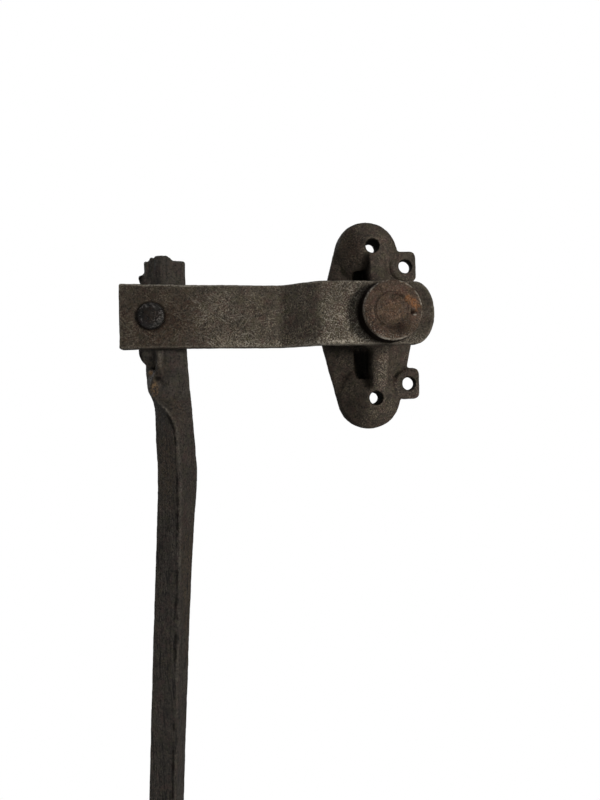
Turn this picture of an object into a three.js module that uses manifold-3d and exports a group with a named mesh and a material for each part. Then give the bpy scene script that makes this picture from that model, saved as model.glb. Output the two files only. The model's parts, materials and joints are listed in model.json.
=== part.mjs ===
// Lever bolt latch for a door or shutter. A cast iron bracket is screwed to the wall, a joggled strap
// arm turns on the bracket's stud, and a long square rod hangs on a rivet at the arm's free end.
//
// Millimetres. +Z is up and +X runs from the rod to the bracket. The wall face is the plane Y = 0 and
// the latch stands out of it towards -Y. The origin is on the wall face, on the stud's axis.
// "Height" below means the distance out of the wall face, so a height h is the plane Y = -h.
import * as THREE from "three";
import { mergeVertices } from "three/addons/utils/BufferGeometryUtils.js";
import Module from "manifold-3d";

// ---- driving dimensions ----
const GAP = 0.3; // clearance between two pieces that touch

// bracket
const PLATE_THICK = 5;
const PLATE_LEFT = [-38.9, -2]; // the rhombus's corners, as [x, z]
const PLATE_RIGHT = [29, -2.6];
const LOBE_RADIUS = 21.6;
const LOBE_HEIGHT = 12.6;
const SCREW_RADIUS = 4.8;
const SEAT_RADIUS = 7.2; // flat ring round a lobe's screw hole
const EAR_HALF = 10.6; // half an ear's height
const EAR_LEFT = 9.4; // from an ear's hole to its rounded inner side
const EAR_WEB_THICK = 3.4; // the web that joins an ear to its lobe
const EAR_RIGHT = 30.2;
const EAR_THICK = 6.5;
// The casting is a little uneven, so each half has its own places, as [x, z].
const UPPER = { side: 1, lobe: [-3.5, 45], screw: [-1.3, 48.6], ear: [22.4, 36.1] };
const LOWER = { side: -1, lobe: [-4.6, -51.2], screw: [-1.9, -52.1], ear: [22.5, -43] };
const BOSS_HEIGHT = 31;
const BOSS_TOP_RADIUS = 18.4;
const BOSS_FOOT_RADIUS = 21;
const RIB_X = 1; // the rib's crest
const RIB_HALF = 6.5;
const RIB_HEIGHT = 25; // where the rib leaves the boss
const POCKET = { left: -14.3, right: -4.5, near: 18, floor: 1.8 };
const POCKET_TO_LOBE = 12.2; // the pocket's end stops this far short of the lobe's centre

// stud, washer and cap
const STUD_RADIUS = 10.4;
const STUD_ROOT = 11; // height of the blind hole's floor
const FACE_HEIGHT = 54; // front of the cap and of the stud's peened end
const CAP_RADIUS = 18;
const CAP_FOOT_RADIUS = 18.9;

// arm
const ARM_WIDTH = 38.1; // 1 1/2 inch strap
const ARM_THICK = 9.5;
const ARM_BACK = 17.5; // height of its back at the rod
const ARM_RISE = 16; // the joggle lifts it by this much at the bracket
const ARM_LEFT = -163;
const ARM_TIP = 29;
const ARM_TIP_DEPTH = 12; // the round end is half an ellipse, this deep
const ARM_FLARE = 0.7; // the square-cut end is hammered this much wider each side
const JOGGLE_START = -67;
const JOGGLE_ANGLE = THREE.MathUtils.degToRad(36);
const BEND_RADIUS = 13;
const ARM_LEAN = THREE.MathUtils.degToRad(0.85); // the arm rests a little off level

// rivet
const RIVET_X = -144; // along the arm
const RIVET_RADIUS = 5.2;
const RIVET_HEAD_RADIUS = 8.35;
const RIVET_HEAD_HEIGHT = 4.6;
const ROVE_RADIUS = 8;
const ROVE_THICK = 1.6;
const SPACER_RADIUS = 11;

// rod
const ROD_LENGTH = 457; // 18 inches
const ROD_TOP = 40; // above the rivet
const ROD_SIDE = 17;
const ROD_AXIS = 12; // height of the shank's axis
const EYE_FRONT = 15;
const EYE_BACK = 4.2;
const EYE_RADIUS = 12; // flat ring that bears on the spacer washer
const SWELLING = { x: 12.3, z: 33, height: 4.8, middle: 8 }; // the lump forged round the eye
const TIP_TAPER = 24;
const TIP_SIDE = 11;
const ROD_EDGE = 1.4; // how far its edges are eased

// ---- helpers ----
const wasm = await Module();
wasm.setup();

const TURN_SEGMENTS = 48;
const HOLE_SEGMENTS = 32;

function solid(geometry) {
  const bare = geometry.clone();
  bare.deleteAttribute("normal");
  bare.deleteAttribute("uv");
  const merged = mergeVertices(bare, 1e-4);
  const mesh = new wasm.Mesh({
    numProp: 3,
    vertProperties: merged.attributes.position.array,
    triVerts: new Uint32Array(merged.index.array),
  });
  return new wasm.Manifold(mesh);
}

function geometryOf(body) {
  const { vertProperties, triVerts } = body.getMesh();
  const geometry = new THREE.BufferGeometry();
  geometry.setAttribute("position", new THREE.BufferAttribute(vertProperties, 3));
  geometry.setIndex(new THREE.BufferAttribute(triVerts, 1));
  geometry.computeVertexNormals();
  return geometry;
}

// A body turned about an axis along Y through (x, z). The profile is [radius, height] pairs.
function turned(profile, x = 0, z = 0, segments = TURN_SEGMENTS) {
  const points = profile.map(([radius, height]) => new THREE.Vector2(radius, -height));
  return solid(new THREE.LatheGeometry(points.reverse(), segments).translate(x, 0, z));
}

function drill(radius, x, z, from, to) {
  return turned([[0, from], [radius, from], [radius, to], [0, to]], x, z, HOLE_SEGMENTS);
}

function ring(outer, inner, from, to, x = 0, z = 0) {
  const disc = turned([[0, from], [outer, from], [outer, to], [0, to]], x, z);
  return disc.subtract(turned([[0, from - 1], [inner, from - 1], [inner, to + 1], [0, to + 1]], x, z));
}

// A shape drawn in X and Z, extruded from one height to another.
function slab(shape, from, to, bevel = 0) {
  const options = {
    depth: to - from - 2 * bevel,
    bevelEnabled: bevel > 0,
    bevelSize: bevel,
    bevelThickness: bevel,
    bevelOffset: -bevel,
    bevelSegments: 3,
    curveSegments: 20,
  };
  const geometry = new THREE.ExtrudeGeometry(shape, options);
  return solid(geometry.rotateX(Math.PI / 2).translate(0, -from - bevel, 0));
}

// A closed polygon with its corners rounded. Each point is [x, y, radius].
function rounded(points) {
  const shape = new THREE.Shape();
  points.forEach(([x, y, radius], i) => {
    const corner = new THREE.Vector2(x, y);
    const before = new THREE.Vector2(...points.at(i - 1));
    const after = new THREE.Vector2(...points[(i + 1) % points.length]);
    const inward = before.sub(corner).normalize();
    const outward = after.sub(corner).normalize();
    const reach = radius / Math.tan(Math.acos(inward.dot(outward)) / 2);
    const start = corner.clone().addScaledVector(inward, reach);
    const end = corner.clone().addScaledVector(outward, reach);
    if (i === 0) shape.moveTo(start.x, start.y);
    else shape.lineTo(start.x, start.y);
    if (radius > 0) shape.quadraticCurveTo(x, y, end.x, end.y);
  });
  shape.closePath();
  return shape;
}

const iron = {
  cast: new THREE.MeshStandardMaterial({ color: 0x2e2926, roughness: 0.75, metalness: 0.6 }),
  strap: new THREE.MeshStandardMaterial({ color: 0x443d35, roughness: 0.6, metalness: 0.75 }),
  rod: new THREE.MeshStandardMaterial({ color: 0x322f2d, roughness: 0.6, metalness: 0.75 }),
  rusty: new THREE.MeshStandardMaterial({ color: 0x4a3c30, roughness: 0.65, metalness: 0.6 }),
  black: new THREE.MeshStandardMaterial({ color: 0x201e1c, roughness: 0.35, metalness: 0.8 }),
};

function piece(name, body, material) {
  const mesh = new THREE.Mesh(geometryOf(body), material);
  mesh.name = name;
  return mesh;
}

// ---- bracket ----
const HALVES = [UPPER, LOWER];

// Where the straight edge from a corner of the rhombus meets a lobe's circle.
function tangentPoint([cornerX, cornerZ], [lobeX, lobeZ], turn) {
  const corner = new THREE.Vector2(cornerX, cornerZ);
  const lobe = new THREE.Vector2(lobeX, lobeZ);
  const toCorner = corner.clone().sub(lobe);
  const swing = Math.acos(LOBE_RADIUS / toCorner.length());
  return lobe.add(toCorner.setLength(LOBE_RADIUS).rotateAround(new THREE.Vector2(), turn * swing));
}

// The rhombus between the two lobes.
function plate() {
  const outline = [
    new THREE.Vector2(...PLATE_LEFT),
    tangentPoint(PLATE_LEFT, LOWER.lobe, 1),
    tangentPoint(PLATE_RIGHT, LOWER.lobe, -1),
    new THREE.Vector2(...PLATE_RIGHT),
    tangentPoint(PLATE_RIGHT, UPPER.lobe, 1),
    tangentPoint(PLATE_LEFT, UPPER.lobe, -1),
  ];
  return slab(new THREE.Shape(outline), 0, PLATE_THICK);
}

function lobe({ lobe: [x, z], screw }) {
  const dome = [
    [0, 0],
    [LOBE_RADIUS, 0],
    [LOBE_RADIUS, PLATE_THICK - 1],
    [LOBE_RADIUS - 0.8, PLATE_THICK + 0.6],
    [LOBE_RADIUS - 3.2, PLATE_THICK + 2.7],
    [LOBE_RADIUS - 6.8, PLATE_THICK + 4.6],
    [LOBE_RADIUS - 11, LOBE_HEIGHT - 1.3],
    [LOBE_RADIUS - 15, LOBE_HEIGHT - 0.4],
    [0, LOBE_HEIGHT],
  ];
  return turned(dome, x, z).add(drill(SEAT_RADIUS, ...screw, 1, LOBE_HEIGHT + 0.3));
}

// A tab with a rounded inner side, on a thinner web that runs under the lobe.
function ear({ ear: [x, z] }) {
  const tab = rounded([
    [x - EAR_LEFT, z - EAR_HALF, 8],
    [EAR_RIGHT, z - EAR_HALF, 5],
    [EAR_RIGHT, z + EAR_HALF, 5],
    [x - EAR_LEFT, z + EAR_HALF, 8],
  ]);
  const root = x - 16;
  const web = rounded([
    [root, z - EAR_HALF + 1, 0],
    [x + 2, z - EAR_HALF + 1, 0],
    [x + 2, z + EAR_HALF - 1, 0],
    [root, z + EAR_HALF - 1, 0],
  ]);
  return slab(tab, 0, EAR_THICK).add(slab(web, 0, EAR_WEB_THICK));
}

function boss() {
  return turned([
    [0, 0],
    [BOSS_FOOT_RADIUS + 2, 0],
    [BOSS_FOOT_RADIUS + 2, PLATE_THICK],
    [BOSS_FOOT_RADIUS, PLATE_THICK + 2.5],
    [BOSS_TOP_RADIUS, BOSS_HEIGHT - 1.2],
    [BOSS_TOP_RADIUS - 1.2, BOSS_HEIGHT],
    [0, BOSS_HEIGHT],
  ]);
}

// A rib of rounded section that falls from the boss to a lobe's screw seat, drawn from the side.
function rib({ side, screw }) {
  const end = side * screw[1];
  const bevel = 4;
  const outline = rounded([
    [8, 1, 0],
    [end, 1, 0],
    [end, LOBE_HEIGHT - 1, 0],
    [end - 9, LOBE_HEIGHT + 0.6, 5],
    [BOSS_TOP_RADIUS + 8, RIB_HEIGHT - 8.5, 10],
    [BOSS_TOP_RADIUS, RIB_HEIGHT, 0],
    [8, RIB_HEIGHT, 0],
  ]);
  const geometry = new THREE.ExtrudeGeometry(outline, {
    depth: 2 * (RIB_HALF - bevel),
    bevelSize: bevel,
    bevelThickness: bevel,
    bevelOffset: -bevel,
    bevelSegments: 4,
    curveSegments: 6,
  });
  // stood up with its length along Z and its thickness along X
  const length = new THREE.Vector3(0, 0, side);
  const height = new THREE.Vector3(0, -1, 0);
  const across = new THREE.Vector3(side, 0, 0);
  geometry.translate(0, 0, bevel - RIB_HALF);
  geometry.applyMatrix4(new THREE.Matrix4().makeBasis(length, height, across));
  return solid(geometry.translate(RIB_X, 0, 0));
}

// The hollow flank that falls from the rib to the plate's right edge, and dies out in the lobe.
// Each station: distance from the pivot, height at the rib, and the foot as x and height.
const FLANK = [
  { far: 16, crest: 20, foot: [20.6, 4.6] },
  { far: 22, crest: 17.5, foot: [20.5, 4.6] },
  { far: 28, crest: 15, foot: [19.7, 4.6] },
  { far: 36, crest: 13.4, foot: [16.6, 4.7] },
  { far: 43, crest: 12.8, foot: [12.1, 7.7] },
  { far: 48, crest: 12, foot: [9.1, 9.6] },
];

function flank({ side }) {
  const rings = FLANK.map(({ far, crest, foot: [footX, footHeight] }) => {
    const top = [RIB_X + RIB_HALF - 2.5, crest];
    const sag = [top[0] + (footX - top[0]) * 0.35, footHeight + (crest - footHeight) * 0.45];
    const inside = [[RIB_X - 0.7, 2.2], [footX, 2.2]];
    const section = [...inside, [footX, footHeight], sag, top, [RIB_X - 0.7, crest]];
    return { z: side * far, points: section.map((point) => new THREE.Vector2(...point)) };
  });
  // the rings run upwards, so that the faces point out
  return solid(loft(side > 0 ? rings : rings.reverse()));
}

function pocket({ side, lobe: [, lobeZ] }) {
  const middle = (side * POCKET.near + lobeZ - side * POCKET_TO_LOBE) / 2;
  const half = Math.abs(lobeZ - side * POCKET_TO_LOBE - side * POCKET.near) / 2;
  const outline = rounded([
    [POCKET.left, middle - half, 2],
    [POCKET.right, middle - half, 2],
    [POCKET.right, middle + half, 2],
    [POCKET.left, middle + half, 2],
  ]);
  return slab(outline, POCKET.floor, PLATE_THICK + 8);
}

function bracket() {
  const each = (make) => HALVES.map(make).reduce((both, one) => both.add(one));
  const screwHole = (at) => drill(SCREW_RADIUS, ...at, -1, 40);
  const studHole = drill(STUD_RADIUS + GAP, 0, 0, STUD_ROOT - GAP, BOSS_HEIGHT + 1);
  return plate()
    .add(boss())
    .add(each(lobe))
    .add(each(ear))
    .subtract(each(pocket))
    .add(each(rib))
    .add(each(flank))
    .subtract(each(({ screw }) => screwHole(screw)))
    .subtract(each(({ ear: at }) => screwHole(at)))
    .subtract(studHole);
}

// ---- stud, washer and cap ----
function stud() {
  return turned([
    [0, STUD_ROOT],
    [STUD_RADIUS, STUD_ROOT],
    [STUD_RADIUS, FACE_HEIGHT - 0.5],
    [STUD_RADIUS - 0.6, FACE_HEIGHT],
    [0, FACE_HEIGHT],
  ]);
}

function cap() {
  const foot = ARM_BACK + ARM_RISE + ARM_THICK + GAP;
  const body = turned([
    [0, foot],
    [CAP_FOOT_RADIUS, foot],
    [CAP_FOOT_RADIUS, foot + 1.5],
    [CAP_RADIUS + 0.2, FACE_HEIGHT - 1],
    [CAP_RADIUS - 0.8, FACE_HEIGHT],
    [0, FACE_HEIGHT],
  ]);
  return body.subtract(drill(STUD_RADIUS + GAP, 0, 0, foot - 1, FACE_HEIGHT + 1));
}

// ---- arm ----
// The strap's centre line, as [x, height, angle], from the square end to the round one.
function centreLine() {
  const low = ARM_BACK + ARM_THICK / 2;
  const steps = 6;
  const points = [[ARM_LEFT, low, 0]];
  const straight =
    (ARM_RISE - 2 * BEND_RADIUS * (1 - Math.cos(JOGGLE_ANGLE))) / Math.sin(JOGGLE_ANGLE);
  for (let i = 0; i <= steps; i++) {
    const angle = (JOGGLE_ANGLE * i) / steps;
    const x = JOGGLE_START + BEND_RADIUS * Math.sin(angle);
    points.push([x, low + BEND_RADIUS * (1 - Math.cos(angle)), angle]);
  }
  const [bendX, bendHeight] = points.at(-1);
  const topX = bendX + straight * Math.cos(JOGGLE_ANGLE) + BEND_RADIUS * Math.sin(JOGGLE_ANGLE);
  for (let i = steps; i >= 0; i--) {
    const angle = (JOGGLE_ANGLE * i) / steps;
    const drop = BEND_RADIUS * (1 - Math.cos(angle));
    points.push([topX - BEND_RADIUS * Math.sin(angle), low + ARM_RISE - drop, angle]);
  }
  points.push([ARM_TIP, low + ARM_RISE, 0]);
  return points;
}

function arm() {
  const half = ARM_THICK / 2;
  const line = centreLine();
  const offset = (sign) =>
    line.map(([x, height, angle]) => {
      const dx = -sign * half * Math.sin(angle);
      return new THREE.Vector2(x + dx, height + sign * half * Math.cos(angle));
    });
  const profile = new THREE.Shape([...offset(-1), ...offset(1).reverse()]);
  const width = ARM_WIDTH + 4;
  const strap = new THREE.ExtrudeGeometry(profile, { depth: width, bevelEnabled: false });
  strap.rotateX(Math.PI).translate(0, 0, width / 2);

  const side = ARM_WIDTH / 2;
  const outline = new THREE.Shape();
  outline.moveTo(ARM_LEFT, -side - ARM_FLARE);
  outline.quadraticCurveTo(ARM_LEFT + 18, -side, ARM_LEFT + 40, -side);
  const roundFrom = ARM_TIP - ARM_TIP_DEPTH;
  outline.absellipse(roundFrom, 0, ARM_TIP_DEPTH, side, -Math.PI / 2, Math.PI / 2, false, 0);
  outline.lineTo(ARM_LEFT + 40, side);
  outline.quadraticCurveTo(ARM_LEFT + 18, side, ARM_LEFT, side + ARM_FLARE);
  outline.closePath();

  return solid(strap)
    .intersect(slab(outline, 0, 60))
    .subtract(drill(STUD_RADIUS + GAP, 0, 0, 0, 60))
    .subtract(drill(RIVET_RADIUS + GAP, RIVET_X, 0, 0, 60));
}

// ---- rivet and its washers, on the rivet's own axis ----
function rivet() {
  const front = ARM_BACK + ARM_THICK + GAP;
  const tail = EYE_BACK - GAP - ROVE_THICK - GAP;
  const dome = [];
  const steps = 8;
  for (let i = 0; i <= steps; i++) {
    const angle = (Math.PI / 2) * (i / steps);
    const radius = RIVET_HEAD_RADIUS * Math.cos(angle) ** 0.6;
    dome.push([radius, front + 1 + (RIVET_HEAD_HEIGHT - 1) * Math.sin(angle)]);
  }
  dome[steps][0] = 0;
  return turned([
    [0, tail - 1.5],
    [RIVET_RADIUS, tail - 1.5],
    [RIVET_RADIUS + 1.6, tail],
    [RIVET_RADIUS, tail],
    [RIVET_RADIUS, front],
    [RIVET_HEAD_RADIUS - 0.3, front],
    ...dome,
  ]);
}

function spacer() {
  return ring(SPACER_RADIUS, RIVET_RADIUS + GAP, EYE_FRONT + GAP, ARM_BACK - GAP);
}

function rove() {
  const front = EYE_BACK - GAP;
  return ring(ROVE_RADIUS, RIVET_RADIUS + GAP, front - ROVE_THICK, front);
}

// ---- rod, with the rivet's axis as its own origin ----
// The section has four corners, each [x, height]: front ridge, right, back and left. Down to the
// shoulder the bar is forged flat, and below it the bar is square, and twists as it goes down.
const PALM = [
  { z: 40, corners: [[5.2, 15], [20.2, 10.6], [18.5, 3.2], [-6.8, 7.8]] },
  { z: 14, corners: [[5, 15], [19.7, 10.6], [17.8, 3.2], [-7, 7]] },
  { z: -14, corners: [[4.6, 15], [19.4, 10.2], [17.3, 3], [-7.8, 5.6]] },
  { z: -28, corners: [[3.6, 15], [19.8, 10], [17, 2.6], [-7.6, 5.4]] },
  { z: -38, corners: [[-1.6, 15], [20.6, 9.8], [15.8, 2.4], [-7, 5.6]] },
  { z: -45, corners: [[-4, 15.6], [21.2, 9.6], [14, 2], [-5.8, 6.6]] },
  { z: -51, corners: [[-0.6, 18], [21.7, 9.6], [12.4, 1.4], [-3.2, 8.6]] },
  { z: -58, corners: [[6.8, 21.6], [22.2, 10], [10.8, 0.7], [-1.9, 11]] },
];
// Each station of the square shank: its axis as x, the turn of its right face from the front, and
// its side, which is a little swollen at the bend.
const SHANK = [
  { z: -68, x: 10.5, turn: 52, side: ROD_SIDE },
  { z: -84, x: 11.1, turn: 54, side: ROD_SIDE + 0.6 },
  { z: -99, x: 11.5, turn: 57, side: ROD_SIDE + 0.9 },
  { z: -114, x: 10.6, turn: 60, side: ROD_SIDE + 0.6 },
  { z: -146, x: 8.2, turn: 65, side: ROD_SIDE },
  { z: -178, x: 6, turn: 69, side: ROD_SIDE },
  { z: -242, x: 2, turn: 73, side: ROD_SIDE },
  { z: -298, x: -1.2, turn: 76, side: ROD_SIDE },
  { z: -360, x: -5, turn: 77, side: ROD_SIDE },
];

function square(x, turn, side) {
  const reach = side / Math.SQRT2;
  return [-45, 45, 135, 225].map((corner) => {
    const angle = THREE.MathUtils.degToRad(turn + corner);
    return [x + reach * Math.sin(angle), ROD_AXIS + reach * Math.cos(angle)];
  });
}

// One ring of points round the section, with the four corners eased.
function sectionRing(corners, ease) {
  const ringPoints = [];
  corners.forEach((corner, i) => {
    const here = new THREE.Vector2(...corner);
    const before = new THREE.Vector2(...corners.at(i - 1)).sub(here).setLength(ease).add(here);
    const after = new THREE.Vector2(...corners[(i + 1) % 4]).sub(here).setLength(ease).add(here);
    const curve = new THREE.QuadraticBezierCurve(before, here, after);
    ringPoints.push(...curve.getPoints(2));
  });
  return ringPoints;
}

// Rings every few millimetres, on a smooth curve through each corner of the stations.
function sectionsThrough(stations) {
  const rounds = [0, 1, 2, 3].map(
    (corner) =>
      new THREE.CatmullRomCurve3(
        stations.map(({ z, corners }) => new THREE.Vector3(...corners[corner], z)),
        false,
        "centripetal",
      ),
  );
  const between = 4; // rings from one station to the next
  const count = (stations.length - 1) * between;
  return Array.from({ length: count + 1 }, (_, i) => {
    const corners = rounds.map((curve) => curve.getPoint(i / count));
    const z = corners.reduce((sum, corner) => sum + corner.z, 0) / 4;
    return { z, points: sectionRing(corners.map((corner) => [corner.x, corner.y]), ROD_EDGE) };
  });
}

// A closed body through rings of points, each ring { z, points } and all with as many points.
function loft(rings) {
  const count = rings[0].points.length;
  const position = rings.flatMap(({ z, points }) => points.flatMap((p) => [p.x, -p.y, z]));
  const index = [];
  for (let r = 0; r + 1 < rings.length; r++)
    for (let i = 0; i < count; i++) {
      const a = r * count + i;
      const b = r * count + ((i + 1) % count);
      index.push(a, a + count, b, b, a + count, b + count);
    }
  const last = (rings.length - 1) * count;
  for (let i = 1; i + 1 < count; i++) {
    index.push(0, i, i + 1);
    index.push(last, last + i + 1, last + i);
  }
  const geometry = new THREE.BufferGeometry();
  geometry.setAttribute("position", new THREE.Float32BufferAttribute(position, 3));
  return geometry.setIndex(index);
}

function rod() {
  const bottom = ROD_TOP - ROD_LENGTH;
  const lean = (SHANK.at(-1).x - SHANK.at(-3).x) / (SHANK.at(-1).z - SHANK.at(-3).z);
  const low = (z) => SHANK.at(-1).x + lean * (z - SHANK.at(-1).z);
  const taperZ = bottom + TIP_TAPER;
  const endTurn = SHANK.at(-1).turn;
  const stations = [
    ...PALM,
    ...SHANK.map(({ z, x, turn, side }) => ({ z, corners: square(x, turn, side) })),
    { z: taperZ, corners: square(low(taperZ), endTurn, ROD_SIDE) },
    { z: bottom, corners: square(low(bottom), endTurn, TIP_SIDE) },
  ];
  const shank = solid(loft(sectionsThrough(stations)));

  const lump = new THREE.SphereGeometry(1, 28, 18);
  lump.scale(SWELLING.x, SWELLING.height, SWELLING.z).translate(0, -SWELLING.middle, -1);
  const eye = solid(lump).add(drill(EYE_RADIUS, 0, 0, EYE_BACK, EYE_FRONT));
  const back = drill(ROVE_RADIUS + 1.5, 0, 0, -1, EYE_BACK);
  return shank
    .add(eye)
    .subtract(back)
    .subtract(raggedTop())
    .subtract(drill(RIVET_RADIUS + GAP, 0, 0, -1, 30));
}

// What the broken upper end has lost, seen from the front.
function raggedTop() {
  const profile = [
    [-12, 2.8], [-2.6, 2.8], [-1.2, 0.4], [1.2, 1.2], [3, -0.2], [8.4, -0.2],
    [12.6, 3.2], [24, 3.2], [24, -5], [-12, -5],
  ];
  const notch = profile.map(([x, lost]) => new THREE.Vector2(x, ROD_TOP - lost));
  return slab(new THREE.Shape(notch), -1, 30);
}

// ---- assembly ----
const latch = new THREE.Group();
latch.add(piece("bracket", bracket(), iron.cast));
latch.add(piece("pivot_stud", stud(), iron.rusty));
latch.add(piece("pivot_cap", cap(), iron.rusty));
latch.add(
  piece(
    "thrust_washer",
    ring(BOSS_TOP_RADIUS, STUD_RADIUS + GAP, BOSS_HEIGHT + GAP, ARM_BACK + ARM_RISE - GAP),
    iron.black,
  ),
);

const armGroup = new THREE.Group();
armGroup.rotation.y = ARM_LEAN;
armGroup.add(piece("arm", arm(), iron.strap));
latch.add(armGroup);

const rivetGroup = new THREE.Group();
rivetGroup.position.x = RIVET_X;
rivetGroup.add(piece("rod_rivet", rivet(), iron.black));
rivetGroup.add(piece("spacer_washer", spacer(), iron.black));
rivetGroup.add(piece("rivet_rove", rove(), iron.black));
armGroup.add(rivetGroup);

const rodGroup = new THREE.Group();
rodGroup.position.x = RIVET_X;
rodGroup.rotation.y = -ARM_LEAN; // the rod hangs true
rodGroup.add(piece("rod", rod(), iron.rod));
armGroup.add(rodGroup);

export default latch;
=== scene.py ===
"""The looks of the toggle bolt latch: a cast bracket, a forged strap arm and a twisted square rod.

Each CAD node is copied, remeshed into an even skin, and then worn, waved and roughened by seeded noise.
Masks on its points tell where it is dirty, rusty, rubbed, scratched or cracked, and where shade and
highlights are painted.
The pieces' lengths are millimetres in the part's own frame: X to the right, Y into the wall, Z up.
The camera, lights and floor are in metres.
"""

import functools
import itertools
import json
import math

import bpy
import numpy as np
from mathutils import Matrix, Vector


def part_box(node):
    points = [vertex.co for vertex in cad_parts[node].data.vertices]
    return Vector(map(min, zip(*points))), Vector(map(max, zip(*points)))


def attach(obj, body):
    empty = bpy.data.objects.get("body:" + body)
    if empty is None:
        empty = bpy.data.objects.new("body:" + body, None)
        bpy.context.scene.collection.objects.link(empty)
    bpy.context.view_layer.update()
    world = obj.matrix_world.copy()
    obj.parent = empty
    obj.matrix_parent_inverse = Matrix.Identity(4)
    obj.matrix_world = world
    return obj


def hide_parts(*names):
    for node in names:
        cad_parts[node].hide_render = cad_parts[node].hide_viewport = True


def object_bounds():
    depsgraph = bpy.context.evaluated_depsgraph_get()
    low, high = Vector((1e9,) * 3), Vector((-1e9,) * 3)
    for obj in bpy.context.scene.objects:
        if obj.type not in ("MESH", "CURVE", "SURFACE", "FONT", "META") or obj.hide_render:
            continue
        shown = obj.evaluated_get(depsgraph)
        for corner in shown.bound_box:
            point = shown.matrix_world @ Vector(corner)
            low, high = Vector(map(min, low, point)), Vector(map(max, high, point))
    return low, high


MM = 0.001
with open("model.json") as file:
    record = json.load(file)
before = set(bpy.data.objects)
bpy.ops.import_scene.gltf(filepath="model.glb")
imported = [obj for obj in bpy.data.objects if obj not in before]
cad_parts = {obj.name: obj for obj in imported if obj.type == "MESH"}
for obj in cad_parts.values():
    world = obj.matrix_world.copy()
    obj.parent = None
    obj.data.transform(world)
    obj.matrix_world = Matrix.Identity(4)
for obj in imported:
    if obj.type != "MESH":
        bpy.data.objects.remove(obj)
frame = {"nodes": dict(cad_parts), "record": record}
cad_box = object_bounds()


# ---- places, in millimetres, worked out from the frame ----
def box_mm(node):
    low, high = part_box(node)
    return np.array(low) / MM, np.array(high) / MM


def centre_mm(node):
    low, high = box_mm(node)
    return (low + high) / 2


def radius_mm(node):
    """Half the width of a round piece."""
    low, high = box_mm(node)
    return (high[0] - low[0]) / 2


RIVET = centre_mm("rod_rivet")
RIVET_HEAD_RADIUS = radius_mm("rod_rivet")
CAP = centre_mm("pivot_cap")
CAP_RADIUS = radius_mm("pivot_cap")
CAP_HEIGHT = -box_mm("pivot_cap")[0][1]  # how far its face stands off the wall
STUD_RADIUS = radius_mm("pivot_stud")
OPENINGS = frame["record"]["physics"]["openings"]
SCREW_HOLES = [np.mean(opening["box_m"], axis=0) / MM for opening in OPENINGS]
LOBE_HOLES, EAR_HOLES = SCREW_HOLES[:2], SCREW_HOLES[2:]

# The bracket's own sizes. Heights are above the wall, which is the plane y = 0.
SCREW_RADIUS = 4.8
PLATE_THICK = 5.0
LOBE_CENTRES = [(-3.5, 0, 45), (-4.6, 0, -51.2)]
LOBE_RADIUS = 21.6
LOBE_EDGE = 6.3  # height where a lobe's left side meets its rounded edge
CROWN = 12.4  # height of a lobe at its hole
RIB = {"left": -4.6, "crest": 0.5, "height": 14.5}
POCKET = {"left": -14.3, "right": -5.0, "near": 17.0, "far": 38.5}  # beside the rib


# ---- seeded noise and smooth masks over points, in numpy ----
def hashed(cells, seed):
    """A number from 0 to 1 for each whole-number cell."""
    mixed = cells[:, 0] * 374761393 + cells[:, 1] * 668265263 + cells[:, 2] * 1442695041
    mixed = (mixed + seed * 974634777) & 0xFFFFFFFF
    mixed = ((mixed ^ (mixed >> 13)) * 1274126177) & 0xFFFFFFFF
    return ((mixed ^ (mixed >> 16)) & 0xFFFFFFFF) / 2**32


def noise(points, size, seed):
    """Smooth noise from -1 to 1 whose blobs are about size across. size may differ by axis."""
    scaled = points / size
    base = np.floor(scaled).astype(np.int64)
    part = scaled - base
    part = part * part * (3 - 2 * part)
    total = np.zeros(len(points))
    for corner in itertools.product((0, 1), repeat=3):
        weight = np.prod(np.where(corner, part, 1 - part), axis=1)
        total += weight * hashed(base + np.array(corner), seed)
    return 2 * total - 1


def fractal(points, size, seed, octaves=4):
    """Noise with finer and weaker noise on top, each half the size and strength of the last."""
    size = np.asarray(size, float)
    total = sum(noise(points, size / 2**i, seed + i) / 2**i for i in range(octaves))
    return total / sum(1 / 2**i for i in range(octaves))


def rise(value, low, high):
    """0 up to low and 1 from high on, with a smooth rise between."""
    t = np.clip((value - low) / (high - low), 0, 1)
    return t * t * (3 - 2 * t)


def fade(value, low, high):
    """1 up to low and 0 from high on."""
    return 1 - rise(value, low, high)


def span(value, start, full, last, end):
    """0 before start, 1 from full to last, and 0 after end."""
    return rise(value, start, full) * fade(value, last, end)


def most(*masks):
    """The strongest of several masks, point by point."""
    return functools.reduce(np.maximum, masks)


def lump(points, place, radii):
    """1 at a place, falling smoothly to 0 on an ellipsoid round it."""
    return fade(np.linalg.norm((points - place) / radii, axis=1), 0, 1)


def spot(points, mark):
    """Like lump, but seen from the front. A mark is (x, z, half its width, half its height)."""
    x, z, wide, tall = mark
    return fade(np.hypot((points[:, 0] - x) / wide, (points[:, 2] - z) / tall), 0, 1)


def off_path(points, path):
    """Distance from a path of (x, z) points, seen from the front."""
    flat = points[:, [0, 2]]
    nearest = np.full(len(points), np.inf)
    for start, end in itertools.pairwise(np.array(path, float)):
        way = end - start
        share = np.clip((flat - start) @ way / (way @ way), 0, 1)
        nearest = np.minimum(nearest, np.linalg.norm(flat - start - share[:, None] * way, axis=1))
    return nearest


def off_axis(points, centre):
    """Distance from an axis along Y."""
    return np.hypot(points[:, 0] - centre[0], points[:, 2] - centre[2])


def around(points, centre, degrees, spread):
    """1 in one direction from a centre, seen from the front, falling to 0 at spread either side."""
    angle = np.degrees(np.arctan2(points[:, 2] - centre[2], points[:, 0] - centre[0]))
    turn = np.abs((angle - degrees + 180) % 360 - 180)
    return fade(turn, 0, spread)


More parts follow.
